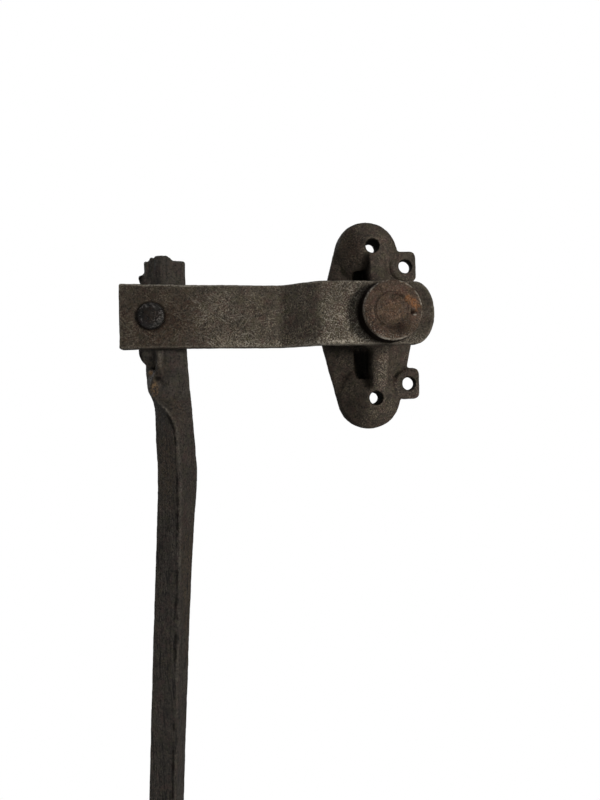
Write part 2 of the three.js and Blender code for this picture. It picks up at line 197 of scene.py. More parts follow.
# ---- skins: an even mesh over each CAD node ----
class Skin:
    """A remeshed copy of a CAD node, whose points and normals are numpy arrays in millimetres."""

    def __init__(self, node, voxel, relax):
        source = frame["nodes"][node]
        self.node = node
        holder = bpy.data.objects.new(node + "_holder", source.data.copy())
        bpy.context.scene.collection.objects.link(holder)
        remesh = holder.modifiers.new("even", "REMESH")
        remesh.mode = "VOXEL"
        remesh.voxel_size = voxel * MM
        depsgraph = bpy.context.evaluated_depsgraph_get()
        self.mesh = bpy.data.meshes.new_from_object(holder.evaluated_get(depsgraph))
        bpy.data.objects.remove(holder)
        self.mesh.name = node + "_skin"
        count = len(self.mesh.vertices)
        flat = np.zeros(count * 3)
        self.mesh.vertices.foreach_get("co", flat)
        self.points = flat.reshape(-1, 3) / MM
        ends = np.zeros(len(self.mesh.edges) * 2, np.int32)
        self.mesh.edges.foreach_get("vertices", ends)
        self.ends = ends.reshape(-1, 2)
        self.degree = np.bincount(ends, minlength=count)[:, None]
        self.points = self.relaxed(relax)
        self.attributes = {}

    def smooth(self, rounds, keep):
        """Relaxes the skin further, except where keep is 1."""
        self.points += (1 - keep)[:, None] * (self.relaxed(rounds) - self.points)

    def relaxed(self, rounds):
        """The points after each has moved halfway to its neighbours' middle, some rounds over."""
        points = self.points
        count = len(points)
        first, second = self.ends.T
        for _ in range(rounds):
            total = np.stack(
                [
                    np.bincount(first, points[second, axis], count)
                    + np.bincount(second, points[first, axis], count)
                    for axis in range(3)
                ],
                axis=1,
            )
            points = points + 0.5 * (total / self.degree - points)
        return points

    def normals(self):
        """The points' outward directions."""
        self.store()
        flat = np.zeros(len(self.points) * 3)
        self.mesh.vertices.foreach_get("normal", flat)
        return flat.reshape(-1, 3)

    def store(self):
        """Puts the points back into the mesh."""
        self.mesh.vertices.foreach_set("co", (self.points * MM).astype(np.float32).ravel())
        self.mesh.update()

    def push(self, amount):
        """Moves each point out along its normal by its own amount."""
        self.points = self.points + self.normals() * np.asarray(amount)[:, None]

    def convexity(self, rounds):
        """How far each point stands out of its surroundings: positive on edges, negative in hollows."""
        return np.sum(self.normals() * (self.points - self.relaxed(rounds)), axis=1)

    def paint(self, name, values):
        """Sets one of the masks that the materials read."""
        self.attributes[name] = np.clip(values, 0, 1)

    def paint_over(self, name, values):
        """Paints only where it is stronger than what is there."""
        self.paint(name, np.maximum(self.attributes[name], values))

    def finish(self, body, material):
        """Turns the skin into a visible piece that rides on a body and replaces its CAD node."""
        self.store()
        for name, values in self.attributes.items():
            layer = self.mesh.attributes.new(name, "FLOAT", "POINT")
            layer.data.foreach_set("value", values.astype(np.float32))
        self.mesh.shade_smooth()
        self.mesh.materials.clear()
        self.mesh.materials.append(material)
        piece = bpy.data.objects.new(self.node + "_worn", self.mesh)
        bpy.context.scene.collection.objects.link(piece)
        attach(piece, body)
        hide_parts(self.node)
        return piece


# ---- materials ----
class Shader:
    """A material's node tree, with the few helpers that these surfaces need."""

    def __init__(self, name):
        self.material = bpy.data.materials.new(name)
        self.material.use_nodes = True
        self.tree = self.material.node_tree
        self.surface = self.tree.nodes["Principled BSDF"]
        place = self.tree.nodes.new("ShaderNodeTexCoord")
        scale = self.tree.nodes.new("ShaderNodeVectorMath")
        scale.operation = "SCALE"
        scale.inputs["Scale"].default_value = 1 / MM
        self.link(place.outputs["Object"], scale.inputs[0])
        self.place = scale.outputs[0]

    def link(self, source, target):
        self.tree.links.new(source, target)

    def put(self, value, socket):
        """Links a value that comes from a node, or sets a plain one on the socket."""
        if isinstance(value, bpy.types.NodeSocket):
            self.link(value, socket)
        else:
            socket.default_value = value

    def noise(self, size, detail, rough, shift, stretch=(1, 1, 1), turn=0.0, warp=0.0):
        """Noise whose blobs are about size millimetres across.

        shift moves it, so that no two are alike, stretch makes its blobs longer along X, Y and Z, and
        turn tilts them about Y by so many degrees.
        """
        mapping = self.tree.nodes.new("ShaderNodeMapping")
        mapping.vector_type = "TEXTURE"
        mapping.inputs["Rotation"].default_value[1] = math.radians(turn)
        mapping.inputs["Scale"].default_value = [size * s for s in stretch]
        mapping.inputs["Location"].default_value = (3.1 * shift, 5.3 * shift, -3.1 * shift)
        self.link(self.place, mapping.inputs["Vector"])
        node = self.tree.nodes.new("ShaderNodeTexNoise")
        node.inputs["Scale"].default_value = 1
        node.inputs["Detail"].default_value = detail
        node.inputs["Roughness"].default_value = rough
        node.inputs["Distortion"].default_value = warp
        self.link(mapping.outputs["Vector"], node.inputs["Vector"])
        return node.outputs["Fac"]

    def attribute(self, name):
        """One of the masks that are painted on the skin."""
        node = self.tree.nodes.new("ShaderNodeAttribute")
        node.attribute_name = name
        return node.outputs["Fac"]

    def ramp(self, value, low, high, start=0.0, end=1.0):
        """Goes smoothly from start to end while value goes from low to high."""
        node = self.tree.nodes.new("ShaderNodeMapRange")
        node.interpolation_type = "SMOOTHSTEP"
        node.inputs["From Min"].default_value = low
        node.inputs["From Max"].default_value = high
        node.inputs["To Min"].default_value = start
        node.inputs["To Max"].default_value = end
        self.put(value, node.inputs["Value"])
        return node.outputs["Result"]

    def math(self, operation, first, second):
        node = self.tree.nodes.new("ShaderNodeMath")
        node.operation = operation
        self.put(first, node.inputs[0])
        self.put(second, node.inputs[1])
        return node.outputs[0]

    def times(self, *values):
        total = values[0]
        for value in values[1:]:
            total = self.math("MULTIPLY", total, value)
        return total

    def mix(self, share, first, second):
        """Two colours, mixed: the first where share is 0, and the second where it is 1."""
        node = self.tree.nodes.new("ShaderNodeMix")
        node.data_type = "RGBA"
        self.put(share, node.inputs[0])
        for colour, socket in ((first, node.inputs[6]), (second, node.inputs[7])):
            self.put((*colour, 1) if isinstance(colour, tuple) else colour, socket)
        return node.outputs[2]

    def blend(self, share, first, second):
        """The same as mix, for plain numbers."""
        node = self.tree.nodes.new("ShaderNodeMix")
        node.data_type = "FLOAT"
        self.put(share, node.inputs[0])
        self.put(first, node.inputs[2])
        self.put(second, node.inputs[3])
        return node.outputs[0]

    def bump(self, height, depth, onto=None):
        """depth is how many millimetres a height of 1 stands for."""
        node = self.tree.nodes.new("ShaderNodeBump")
        node.inputs["Strength"].default_value = 1
        node.inputs["Distance"].default_value = depth * MM
        self.put(height, node.inputs["Height"])
        if onto is not None:
            self.link(onto, node.inputs["Normal"])
        return node.outputs["Normal"]

    def done(self, colour, roughness, metallic, normal):
        self.put(colour, self.surface.inputs["Base Color"])
        self.put(roughness, self.surface.inputs["Roughness"])
        self.put(metallic, self.surface.inputs["Metallic"])
        self.link(normal, self.surface.inputs["Normal"])
        return self.material


def shade(colour, factor):
    """The same colour, so many times as bright."""
    return tuple(channel * factor for channel in colour)


def patina(s, tones, mottle, rust_share):
    """Mottled and tinted base colours with blotches of rust."""
    dark, mid, light, rust = (tones[name] for name in ("dark", "mid", "light", "rust"))
    blotch = s.noise(15, detail=5, rough=0.6, shift=3)
    colour = s.mix(s.ramp(mottle, 0.36, 0.64), dark, mid)
    colour = s.mix(s.times(s.ramp(blotch, 0.42, 0.68), 0.8), colour, light)
    purple, olive = (1.3, 0.84, 0.95), (0.92, 1.12, 0.72)
    for tint, size, shift in ((purple, 6, 83), (olive, 5, 89)):
        share = s.ramp(s.noise(size, detail=4, rough=0.75, shift=shift), 0.48, 0.62, 0, 0.5)
        colour = s.mix(share, colour, tuple(c * t for c, t in zip(mid, tint)))
    rusty = s.ramp(s.noise(8, detail=6, rough=0.7, shift=23), 0.52, 0.7, 0, rust_share)
    spread = s.math("ADD", rusty, s.attribute("rust"))
    fine = s.ramp(s.noise(2.4, detail=4, rough=0.7, shift=29), 0.32, 0.6)
    return s.mix(s.times(spread, fine), colour, rust)


def grainy(s, colour, tones, fine, speckle):
    """Dark pores, pale specks where the metal is rubbed, and bright ones where it is painted with flecks."""
    colour = s.mix(s.ramp(fine, 0.33, 0.53, 0.9, 0.0), colour, shade(tones["dark"], 0.3))
    speck = s.ramp(s.noise(0.95, detail=1, rough=0.6, shift=43), 0.52, 0.66)
    rubbed = s.ramp(s.noise(10, detail=3, rough=0.6, shift=41), 0.4, 0.65, 0.25, 1.0)
    rubbed = s.math("ADD", rubbed, s.attribute("flecks"))
    colour = s.mix(s.times(speck, rubbed, speckle), colour, shade(tones["light"], 2.4))
    bright = s.ramp(s.noise(0.8, detail=1, rough=0.6, shift=47), 0.57, 0.63)
    return s.mix(s.times(bright, s.attribute("flecks")), colour, tones["bare"])


def scratched(s, colour, bare, strength):
    """Fine bright scratches in three directions, most where the flecks are."""
    for turn, shift in ((35, 61), (-50, 67), (80, 71)):
        lines = s.noise(0.75, detail=1, rough=0.5, shift=shift, stretch=(1, 1, 9), turn=turn)
        cover = s.ramp(s.noise(9, detail=2, rough=0.5, shift=shift + 3), 0.44, 0.6)
        cover = s.times(s.math("ADD", s.attribute("flecks"), 0.15), cover)
        colour = s.mix(s.times(s.ramp(lines, 0.62, 0.68), cover, strength), colour, bare)
    return colour


def old_iron(name, tones, grain, speckle, rust_share=0.3, gloss=0.0, fibres=0.0, scratches=0.0):
    """Old patinated iron: mottled dark colours, rust in blotches, bare metal on worn edges, black dirt and
    painted shade.

    grain is the size of its pores in millimetres, and the rest are strengths from 0 to 1.
    """
    s = Shader(name)
    mottle = s.noise(4.2, detail=6, rough=0.7, shift=11)
    fine = s.noise(grain, detail=2, rough=0.7, shift=5)
    colour = patina(s, tones, mottle, rust_share)
    colour = grainy(s, colour, tones, fine, speckle)
    bumps = s.bump(mottle, 0.8, onto=s.bump(fine, 0.5))
    if scratches:
        colour = scratched(s, colour, tones["bare"], scratches)
    worn = s.times(s.attribute("edge"), s.ramp(s.noise(1.3, detail=3, rough=0.6, shift=31), 0.35, 0.6))
    colour = s.mix(worn, colour, tones["bare"])
    if fibres:
        # open laminations that run along the forging
        strand = s.noise(1.7, detail=3, rough=0.6, shift=59, stretch=(1, 1, 10), warp=0.5)
        crack = s.times(s.ramp(strand, 0.34, 0.44, 1.0, 0.0), s.attribute("cracks"), fibres)
        colour = s.mix(crack, colour, shade(tones["dark"], 0.15))
        bumps = s.bump(strand, 1.1 * fibres, onto=bumps)
    # dirt and painted shade are nearly black and have no sheen
    colour = s.mix(s.attribute("hollow"), colour, shade(tones["dark"], 0.14))
    s.put(s.blend(s.attribute("hollow"), 0.3, 0.02), s.surface.inputs["Specular IOR Level"])
    roughness = s.blend(worn, s.ramp(mottle, 0.3, 0.7, 0.75 - gloss, 0.58 - gloss), 0.4)
    return s.done(colour, roughness, s.blend(worn, 0.1, 0.7), bumps)


CAST_IRON = old_iron(
    "cast_iron",
    {
        "dark": (0.02, 0.0158, 0.0118),
        "mid": (0.044, 0.0345, 0.0258),
        "light": (0.062, 0.0505, 0.0375),
        "bare": (0.2, 0.175, 0.14),
        "rust": (0.058, 0.032, 0.021),
    },
    grain=1.2,
    speckle=0.7,
    rust_share=0.5,
)
STRAP_IRON = old_iron(
    "strap_iron",
    {
        "dark": (0.032, 0.0255, 0.019),
        "mid": (0.055, 0.0445, 0.033),
        "light": (0.074, 0.062, 0.0455),
        "bare": (0.4, 0.37, 0.31),
        "rust": (0.066, 0.036, 0.022),
    },
    grain=1.1,
    speckle=0.75,
    scratches=0.8,
)
ROD_IRON = old_iron(
    "rod_iron",
    {
        "dark": (0.018, 0.0155, 0.0135),
        "mid": (0.029, 0.0245, 0.0205),
        "light": (0.037, 0.0315, 0.0255),
        "bare": (0.16, 0.145, 0.12),
        "rust": (0.2, 0.115, 0.045),
    },
    grain=1.5,
    speckle=0.35,
    rust_share=0.05,
    fibres=1.0,
)
CAP_STEEL = old_iron(
    "cap_steel",
    {
        "dark": (0.031, 0.0195, 0.013),
        "mid": (0.058, 0.0365, 0.0235),
        "light": (0.076, 0.049, 0.0315),
        "bare": (0.42, 0.39, 0.33),
        "rust": (0.24, 0.094, 0.026),
    },
    grain=1.0,
    speckle=0.6,
    rust_share=0.1,
)
BLACK_STEEL = old_iron(
    "black_steel",
    {
        "dark": (0.009, 0.0085, 0.008),
        "mid": (0.016, 0.0145, 0.0135),
        "light": (0.022, 0.02, 0.018),
        "bare": (0.3, 0.29, 0.28),
        "rust": (0.03, 0.02, 0.014),
    },
    grain=1.8,
    speckle=0.1,
    gloss=0.4,
    rust_share=0.08,
)


# ---- wear that every piece gets ----
# What each mask shows: bare metal and painted highlights, black dirt and painted shade, bright specks and
# scratches, rust, and open fibres.
MASKS = ("edge", "hollow", "flecks", "rust", "cracks")


def weather(skin, wave, roughen, seed, edges=0.3, cavity_dark=1.6):
    """Waves and roughens a skin, then paints its worn edges, and darkens its hollows with dirt and painted
    shade.
    """
    skin.push(wave * fractal(skin.points, 11, seed, 3) + roughen * fractal(skin.points, 2.4, seed + 9, 3))
    stands_out = skin.convexity(10)
    for name in MASKS:
        skin.paint(name, np.zeros(len(skin.points)))
    skin.paint("edge", edges * rise(stands_out * 2.5, 0.12, 0.6))
    # hollows darkened nearly black, as dirt and painted shade
    skin.paint("hollow", rise(-stands_out * cavity_dark, 0.15, 0.7))


def fill_out(skin, amount, holes):
    """Gives back what the even mesh takes off the edges seen from the front, clear of the pivot holes."""
    sideways = 1 - np.abs(skin.normals()[:, 1])
    for centre, radius in holes:
        sideways *= off_axis(skin.points, centre) > radius
    skin.push(amount * sideways)


# ---- the cast bracket ----
LOBE_FEET = (220, 140)  # the direction each lobe's foot faces, where painted shade darkens it, in degrees from +X towards +Z
EAR_GROOVE = {"radius": 10.2, "half_width": 2, "depth": 1.6, "spread": 75, "facing": (210, 145)}
HOLE_FUR = 0.35  # rust that narrows the screw holes
HOLE_FUR_AT_BACK = 0.7  # as much again at the back of the lobes' holes
EARS_START = 14  # only the ears' holes lie right of this
# Paths as (x, z): painted shade left of the rib above and below the arm, and rubbed specks with a painted
# highlight along its crest below the arm.
SHADE_BESIDE_RIB = ([(-7, 24), (-7, 33), (-4.5, 41)], [(-8, -24), (-9, -34), (-6.5, -43)])
RIB_CREST = [(4, -20), (3, -34), (3, -44)]
RED_LOBE = (-13, 47, 14, 17)  # a mark seen from the front: x, z, half the width, half the height


def off_holes(points):
    """Distance from the nearest screw hole's axis."""
    return np.min([off_axis(points, hole) for hole in SCREW_HOLES], axis=0)


def soften_casting(skin):
    """Rounds the casting off, except its screw holes and, mostly, its rim at the wall."""
    x, y = skin.points.T[:2]
    in_pocket = span(x, POCKET["left"] - 3, POCKET["left"], POCKET["right"], -2)
    rim = 0.7 * (y > -PLATE_THICK + 1) * (1 - in_pocket)
    holes = fade(off_holes(skin.points), SCREW_RADIUS + 0.4, SCREW_RADIUS + 2.5)
    skin.smooth(16, most(holes, rim))


def slope_lobes(skin):
    """Left of its screw hole each lobe falls away evenly to its edge, instead of being a full dome."""
    x, y = skin.points.T[:2]
    for hole, lobe in zip(LOBE_HOLES, LOBE_CENTRES):
        out = off_axis(skin.points, lobe)
        cone = CROWN + (LOBE_EDGE - CROWN) * np.clip((out - 3) / (LOBE_RADIUS - 4), 0, 1)
        left = rise(hole[0] - 3 - x, 0, 9) * fade(out, LOBE_RADIUS - 1.5, LOBE_RADIUS - 0.3)
        skin.points[:, 1] += left * np.maximum(-y - cone, 0) * (y < -LOBE_EDGE)


def fur_holes(skin, groove):
    """Narrows the screw holes and sinks the ears' grooves."""
    x, y = skin.points.T[:2]
    fur = HOLE_FUR + HOLE_FUR_AT_BACK * rise(y, -8, -1) * (x < EARS_START)
    fur *= fade(off_holes(skin.points), SCREW_RADIUS, SCREW_RADIUS + 0.8)
    skin.push(fur - EAR_GROOVE["depth"] * groove)


def ear_grooves(points):
    """1 along the groove that runs round each ear on the side of its lobe."""
    groove = np.zeros(len(points))
    for hole, facing in zip(EAR_HOLES, EAR_GROOVE["facing"]):
        ring = fade(np.abs(off_axis(points, hole) - EAR_GROOVE["radius"]), 0, EAR_GROOVE["half_width"])
        groove = most(groove, ring * around(points, hole, facing, EAR_GROOVE["spread"]))
    return groove * (points[:, 1] < -2)


def square_rib(skin):
    """The rib's left side stands steeper than its right."""
    x, y, z = skin.points.T
    along = span(np.abs(z), 18, 22, 36, 42)
    corner = span(x, RIB["left"], RIB["left"] + 1.5, RIB["crest"], RIB["crest"] + 3)
    skin.points[:, 1] -= 0.8 * along * corner * np.clip(RIB["height"] + y, 0, 6) * (y < -PLATE_THICK)


def bracket_painted_shade(points, groove):
    """Painted shade, nearly black, in the holes, the pockets, the grooves, beside the rib, and at each
    lobe's foot and on that side of the lobe.
    """
    x, y, z = points.T
    height, away = -y, np.abs(z)
    # painted shade on the holes' walls, in the pocket beside the rib and in the ears' grooves
    in_holes = fade(off_holes(points), SCREW_RADIUS - 0.2, SCREW_RADIUS + 0.6)
    in_pocket = span(x, POCKET["left"] - 5, POCKET["left"] + 2, POCKET["right"], POCKET["right"] + 5.5)
    in_pocket *= span(away, POCKET["near"] - 2, POCKET["near"] + 6, POCKET["far"] - 5, POCKET["far"] + 4)
    in_pocket *= span(height, 0.5, 1.5, PLATE_THICK - 0.3, PLATE_THICK + 12)
    painted_shade = most(0.9 * in_holes, 0.9 * in_pocket, 0.75 * groove)
    raised = height > 1
    # painted shade left of the rib
    for path in SHADE_BESIDE_RIB:
        beside_rib = fade(off_path(points, path), 0.5, 6.5) * fade(x, RIB["left"] + 0.6, RIB["left"] + 2)
        painted_shade = most(painted_shade, 0.92 * beside_rib * raised)
    # painted shade at each lobe's foot and on its side that faces away from the light
    for lobe, facing in zip(LOBE_CENTRES, LOBE_FEET):
        out = off_axis(points, lobe)
        foot = fade(np.abs(out - LOBE_RADIUS - 0.5), 0.3, 2) * around(points, lobe, facing, 50)
        side = span(out, 8, LOBE_RADIUS - 2, LOBE_RADIUS, LOBE_RADIUS + 2) * around(points, lobe, facing, 80)
        painted_shade = most(painted_shade, 0.5 * foot * raised, 0.6 * side * raised)
    return painted_shade


def make_bracket():
    """The casting, nearly black with painted shade in its holes and hollows, darker on its left with painted
    shade, redder on one lobe, and rubbed with a painted highlight on the rib's crest.
    """
    skin = Skin("bracket", voxel=0.55, relax=2)
    soften_casting(skin)
    slope_lobes(skin)
    groove = ear_grooves(skin.points)
    fur_holes(skin, groove)
    square_rib(skin)
    weather(skin, 0.25, 0.2, seed=5, edges=0.12)
    points = skin.points
    x, height = points[:, 0], -points[:, 1]
    # painted shade darkens the casting's left side; the red lobe, the part right of x = 10 and random
    # patches are a little darker too
    darkening = 0.5 * rise(-x, 4, 15) * rise(height, 1, 3) + 0.08 * rise(x, 10, 14)
    darkening += 0.1 * spot(points, RED_LOBE) + 0.14 * rise(fractal(points, 13, 9), 0, 0.3)
    cavity_dark = 0.8 * skin.attributes["hollow"]
    skin.paint("hollow", most(cavity_dark, bracket_painted_shade(points, groove), darkening))
    # rubbed specks along the rib's crest, which also serve as a painted highlight
    skin.paint("flecks", 0.8 * fade(off_path(points, RIB_CREST), 0, 6) * rise(height, 9, 13))
    skin.paint("rust", 0.7 * spot(points, RED_LOBE))
    return skin.finish("bracket_body", CAST_IRON)


# ---- the strap arm ----
ARM_FRONT = (22, 25)  # heights: below the first is the strap's back or side, above the second its front
# Stretches along X: where each starts, is full, begins to fade and ends.
RAISED = (-44, -36, -24, -6)  # rubbed, where the joggle has lifted the strap
CHIPPED = (-60, -44, -20, -8)  # the bright part of the lower edge
# Marks seen from the front: x, z, half the width, half the height.
LOW_LEFT = (-100, -13, 38, 9)
SCRATCHED = (-106, 2, 26, 22)
RUSTY_END = (-138, 0, 40, 26)
CLEAN_SLOPE = (-58, 0, 14, 30)


def make_arm():
    """The strap, rubbed on its edges and raised part, rusty at the rod, with painted shade and shadow round
    cap and rivet.
    """
    skin = Skin("arm", voxel=0.6, relax=3)
    weather(skin, 0.2, 0.14, seed=21, edges=0.25)
    fill_out(skin, 0.4, [(CAP, STUD_RADIUS + 3), (RIVET, RIVET_HEAD_RADIUS)])
    points = skin.points
    x, y, z = points.T
    front = rise(-y, *ARM_FRONT)
    low_edge = fade(z, -17, -12) * rise(x, -118, -90)
    flecks = 0.58 * span(x, *RAISED) + 0.42 * spot(points, LOW_LEFT) + 0.5 * low_edge
    flecks = (flecks + 0.35 * spot(points, SCRATCHED) + 0.04) * front
    skin.paint("flecks", flecks * (0.7 + 0.6 * fractal(points, 9, 25)))
    top_edge = rise(z, 14, 19) * fade(x, -118, -100)
    bottom_edge = fade(z, -18, -15) * span(x, *CHIPPED)
    worn = most(top_edge, bottom_edge * rise(fractal(points, 2.4, 29), 0, 0.2))
    skin.paint("edge", most(skin.attributes["edge"] * (1 + 3 * worn), 1.6 * bottom_edge * worn * front))
    skin.paint("rust", 0.9 * spot(points, RUSTY_END) * fade(x, -122, -100))
    # painted shadow and shade round the cap, most on its left, and painted shade round the rivet
    shade_beside_cap = fade(off_axis(points, CAP) - CAP_RADIUS, 0, 2.6)
    shade_beside_cap *= 0.45 + 0.5 * around(points, CAP, 190, 120)
    shade_beside_rivet = fade(off_axis(points, RIVET) - RIVET_HEAD_RADIUS, 0, 3)
    darkening = 0.1 + 0.34 * fade(x, -138, -95) + 0.25 * rise(x, 6, 18)
    darkening += 0.12 * rise(fractal(points, 16, 27), 0, 0.3)
    darkening *= 1 - 0.6 * spot(points, CLEAN_SLOPE)
    skin.paint_over("hollow", most(shade_beside_cap, 0.85 * shade_beside_rivet, darkening))
    return skin.finish("arm_body", STRAP_IRON)


# ---- the rod ----
ROD_FRONT = 14  # the rod's front stands higher off the wall than this
SHANK = (-150, -115)  # along Z: below the first it is all shank, above the second none of it is
# The forged corner that leaves the left outline at the shoulder and runs down the middle, as (x, z).
FRONT_RIDGE = [
    (-144.6, -49),
    (-137.5, -55),
    (-133.4, -62),
    (-131, -68),
    (-130.3, -81),
    (-130.3, -100),
    (-131.6, -144),
    (-133.2, -176),
    (-139.3, -296),
]
RIDGE_SEAM = [(x - 1.6, z) for x, z in FRONT_RIDGE]  # the dark line at the ridge's left foot
# Round the torn lap below the arm, as (x, z).
BULGE = [(-142.3, -16), (-141.5, -29), (-138.5, -37)]
BULGE_SHINE = [(-141.8, -19), (-141, -27)]
BULGE_CREASE = [(-137.8, -12), (-137.9, -26), (-139, -36)]
# Lumps: their place and their radii.
UPPER_LUMP = ((-151.5, -9, 29), (4, 7, 4.5))
LOWER_LUMP = ((-154, -9, -22), (4, 8, 9))
# Marks seen from the front: x, z, half the width, half the height.
LAP = (-144, -29, 11, 16)
LAP_PIT = (-142.8, -35.5, 3.4, 3)
GOLD_SPOT = (-147.6, -31.5, 2.4, 2.6)
GOLD_STREAK = (-145, -42, 3.4, 7)
NECK = (-130, -45, 12, 34)
SHOULDER = (-139, -56, 9, 16)
SHOULDER_BLOT = (-143, -66, 3, 12)
LEFT_FACE = (-138, -92, 12, 42)
SHANK_BLOT = (-136, -136, 8, 20)


def rod_dirt(points, folds, bulge, front):
    """Black lumps and folds in the torn lap, a seam beside the ridge, and blots on the left face."""
    fold_dirt = spot(points, LAP) * rise(-folds, 0.1, 0.36) * (1 - bulge)
    crease = 0.5 * fade(off_path(points, BULGE_CREASE) + 2.4 * fractal(points, 4, 161), 0.2, 1.8)
    lumps = most(lump(points, *UPPER_LUMP), lump(points, *LOWER_LUMP))
    black = most(lumps, fold_dirt, crease, spot(points, LAP_PIT))
    seam = 0.75 * fade(off_path(points, RIDGE_SEAM) + 0.8 * fractal(points, 4, 151), 0.3, 1.2) * front
    seam *= rise(fractal(points, 9, 153), -0.25, 0.15)
    blots = rise(fractal(points, (5, 5, 9), 155), 0, 0.3)
    blots *= 0.75 * spot(points, SHANK_BLOT) + 0.5 * spot(points, SHOULDER_BLOT)
    return most(0.85 * rise(black, 0.15, 0.8), seam, blots)


def make_rod():
    """The rod, with its torn and folded lap, its forged corner and the cracks along its shank."""
    skin = Skin("rod", voxel=0.64, relax=1)
    weather(skin, 0.22, 0.1, seed=37, edges=0.12, cavity_dark=1.2)
    fill_out(skin, 0.5, [(RIVET, RIVET_HEAD_RADIUS)])
    points = skin.points  # the masks all use the points from before the lumps are pushed out
    x, y, z = points.T
    front = y < -ROD_FRONT
    top = rise(z, RIVET[2] + 22, RIVET[2] + 30)
    shank = fade(z, *SHANK)
    lap = spot(points, LAP)
    bulge = fade(off_path(points, BULGE), 0, 3.6) * (y < -8)
    folds = fractal(points, (5, 5, 3.2), 141)
    lumps = 3.2 * lump(points, *UPPER_LUMP) + 1.2 * lump(points, *LOWER_LUMP) + 2.2 * bulge
    skin.push(0.6 * top * fractal(points, (1.5, 1.5, 9), 131, 3) + 1.5 * lap * folds + lumps)
    skin.paint("cracks", 0.95 * shank + 0.5 * top + 0.4 * lap)
    skin.paint_over("hollow", rod_dirt(points, folds, bulge, front))
    gold = 1.5 * spot(points, GOLD_SPOT) + 0.8 * spot(points, GOLD_STREAK)
    left_face = rise(-130.5 - x, 0, 1.5) * spot(points, LEFT_FACE)
    right_face = shank * rise(x + 133, 1, 3)
    neck = spot(points, NECK) * front
    skin.paint("rust", gold + 0.1 * lap + 0.1 * left_face + 0.09 * neck + 0.08 * right_face)
    rubbed = 0.6 * fade(off_path(points, FRONT_RIDGE), 0, 1.1) * front
    rubbed *= rise(fractal(points, 4, 157), -0.2, 0.2) * (0.4 + 0.9 * spot(points, SHOULDER))
    # a painted highlight down the bulge below the arm
    shine = 0.55 * fade(off_path(points, BULGE_SHINE), 0.5, 2.2) * front
    skin.paint_over("edge", most(rubbed, shine))
    return skin.finish("rod_body", ROD_IRON)


# ---- the cap, and the stud whose peened end shows in it ----
# Marks on the cap's face, measured from its centre: x, z and, for a spot, half its width and height.
RUST_CRESCENT = ((9.6, 6.4), (12.4, 4.2), (14.4, 1.2))
RUST_MIDDLE = (-1, 0, 11, 10)
DARK_PATCH = (4, -11, 12, 7)
NICK = (11.8, -1.8, 3.4, 2)
NICK_DIRT = (11, -1.8, 4.4, 2.9)
NICK_GLINT = (13, -3.2, 1.7, 0.9)


def on_cap(points, mark):
    """A spot whose place is measured from the cap's centre."""
    x, z, wide, tall = mark
    return spot(points, (CAP[0] + x, CAP[2] + z, wide, tall))


def close_seam(skin):
    """The stud is peened into the cap, so that only a faint ring shows between them."""
    seam = fade(np.abs(off_axis(skin.points, CAP) - STUD_RADIUS - 0.15), 0.2, 0.9)
    lift = 0.66 - 0.3 * around(skin.points, CAP, -10, 80)
    skin.points[:, 1] -= lift * seam * (skin.points[:, 1] < 0.9 - CAP_HEIGHT)


def cap_paint(skin):
    """Rust and dark patches on the face, painted shade on the side wall and painted highlights on the rim,
    alike on the cap and the stud's end.
    """
    points = skin.points
    out = off_axis(points, CAP)
    face = rise(-points[:, 1], CAP_HEIGHT - 1.9, CAP_HEIGHT - 0.9)
    crescent = [(CAP[0] + x, CAP[2] + z) for x, z in RUST_CRESCENT]
    patch = fade(off_path(points, crescent), 1.2, 3.4) * rise(fractal(points, 4, 53), -0.45, 0)
    skin.paint("rust", patch + 0.2 * on_cap(points, RUST_MIDDLE))
    dark = 0.12 + 0.6 * on_cap(points, DARK_PATCH) + 0.3 * rise(fractal(points, 7, 55), 0.05, 0.35)
    dark += 0.3 * around(points, CAP, 200, 70) * rise(out, 11, 15)
    # the side wall below the face is painted nearly black as painted shade; on the face, a dark patch,
    # random tone and a darker band towards its left rim
    skin.paint("hollow", most(0.15 * skin.attributes["hollow"], dark * face, 0.97 * (1 - face)))
    # painted highlights along the rim where the light falls: right, bottom and upper left
    rim = fade(np.abs(out - CAP_RADIUS + 1.1), 0.2, 0.9)
    upper_left = 0.55 * around(points, CAP, 150, 80)
    lit = most(around(points, CAP, 35, 75), around(points, CAP, -95, 55), upper_left)
    skin.paint("edge", 1.3 * rim * face * lit * rise(fractal(points, 3, 57), -0.4, 0))
    skin.paint("flecks", face * (0.1 + 0.4 * rise(out, 13, 17) * around(points, CAP, -110, 110)))


def make_cap():
    """The thick collar in front of the arm, with a nick in its face."""
    skin = Skin("pivot_cap", voxel=0.33, relax=1)
    skin.push(-1.3 * on_cap(skin.points, NICK) * rise(-skin.points[:, 1], CAP_HEIGHT - 2, CAP_HEIGHT - 0.5))
    close_seam(skin)
    weather(skin, 0.16, 0.07, seed=51)
    cap_paint(skin)
    # a painted glint: bare metal at the nick's lower right, kept clear of dark
    glint = on_cap(skin.points, NICK_GLINT)
    skin.paint("hollow", most(skin.attributes["hollow"], 0.9 * on_cap(skin.points, NICK_DIRT)) * (1 - glint))
    skin.paint_over("edge", glint)
    return skin.finish("bracket_body", CAP_STEEL)


def make_stud():
    """The stud, swollen inside the cap, with the same paint on its end as on the cap's face."""
    skin = Skin("pivot_stud", voxel=0.33, relax=1)
    sides = off_axis(skin.points, CAP) > STUD_RADIUS - 1.2
    skin.push(0.45 * sides * rise(-skin.points[:, 1], CAP_HEIGHT - 8, CAP_HEIGHT - 6))
    close_seam(skin)
    weather(skin, 0.16, 0.07, seed=51)
    cap_paint(skin)
    return skin.finish("bracket_body", CAP_STEEL)


# ---- the rivet and the washers ----
DOME_TOP = (29.2, 31.5)  # heights where the rivet's hammered flat top starts and is full


